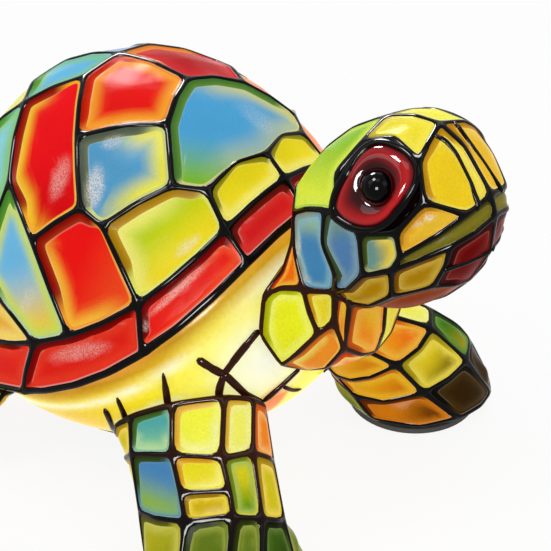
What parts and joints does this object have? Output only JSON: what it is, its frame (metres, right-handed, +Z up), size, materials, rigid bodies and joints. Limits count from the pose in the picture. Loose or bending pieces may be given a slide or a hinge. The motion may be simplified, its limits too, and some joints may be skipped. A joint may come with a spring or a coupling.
{
  "type": "stained glass night light",
  "caption": "Turtle-shaped table night light: bevelled coloured glass panes in black came over a hollow glowing amber body on four legs, with a battery base and slide switch underneath.",
  "frame": {"origin": "on the table under the middle of the lamp's box, with the foot pads at Z = 0", "axes": "+X towards the head, +Y to the turtle's left, +Z up"},
  "size_m": [0.1974, 0.1772, 0.1465],
  "materials": {
    "came": "glossy black patina on came",
    "glass_crimson": "bevelled crimson art glass",
    "glass_red": "bevelled red art glass",
    "glass_orange": "bevelled orange art glass",
    "glass_yellow": "bevelled yellow art glass",
    "glass_blue": "bevelled blue art glass",
    "glass_green": "bevelled lime green art glass",
    "glass_amber": "bevelled amber art glass",
    "glass_olive": "bevelled olive art glass",
    "glass_dark_red": "bevelled dark red art glass",
    "glass_teal": "bevelled teal art glass",
    "glass_eye_red": "glossy dark red glass ring",
    "black_bead": "polished black bead",
    "amber_resin": "translucent amber resin, lit from inside",
    "pad_rubber": "matt rubber",
    "base_plastic": "moulded plastic",
    "steel": "plain steel",
    "cell_jacket": "printed steel can",
    "board_white": "white solder mask",
    "led_phosphor": "yellow phosphor in clear resin",
    "opal": "opal diffusing plastic",
    "switch_black": "moulded plastic"
  },
  "bodies": {
    "base": {"shell_came": "came", "shell_rim_panes": "glass_crimson", "shell_red_panes": "glass_red", "shell_orange_panes": "glass_orange", "shell_yellow_panes": "glass_yellow", "shell_blue_panes": "glass_blue", "shell_green_panes": "glass_green", "body_shell": "amber_resin", "head_came": "came", "head_yellow_panes": "glass_yellow", "head_green_panes": "glass_green", "head_blue_panes": "glass_blue", "head_amber_panes": "glass_amber", "head_lip_panes": "glass_olive", "head_jaw_panes": "glass_dark_red", "neck_yellow_panes": "glass_yellow", "neck_orange_panes": "glass_orange", "neck_green_panes": "glass_green", "eye_rings": "glass_eye_red", "pupils": "black_bead", "front_right_leg_came": "came", "front_left_leg_came": "came", "rear_right_leg_came": "came", "rear_left_leg_came": "came", "leg_yellow_panes": "glass_yellow", "leg_orange_panes": "glass_orange", "leg_green_panes": "glass_green", "leg_blue_panes": "glass_teal", "leg_toe_panes": "glass_olive", "tail": "amber_resin", "foot_pads": "pad_rubber", "base_plate": "base_plastic", "base_screws": "steel", "battery_tray": "base_plastic", "battery_cells": "cell_jacket", "contact_leaves": "steel", "door_pin": "steel", "led_board": "board_white", "board_posts": "base_plastic", "led_chips": "led_phosphor", "diffuser": "opal", "switch_body": "base_plastic"},
    "door": {"battery_door": "base_plastic"},
    "switch": {"switch_slider": "switch_black"}
  },
  "joints": [
    {"name": "door_hinge", "type": "hinge", "parent": "base", "child": "door", "pos_m": [-0.03268, -0.0094, 0.0174], "axis": [-1, 0, 0], "range_deg": [0, 90]},
    {"name": "switch_slide", "type": "slide", "parent": "base", "child": "switch", "axis": [1, 0, 0], "range_m": [0, 0.003]}
  ]
}
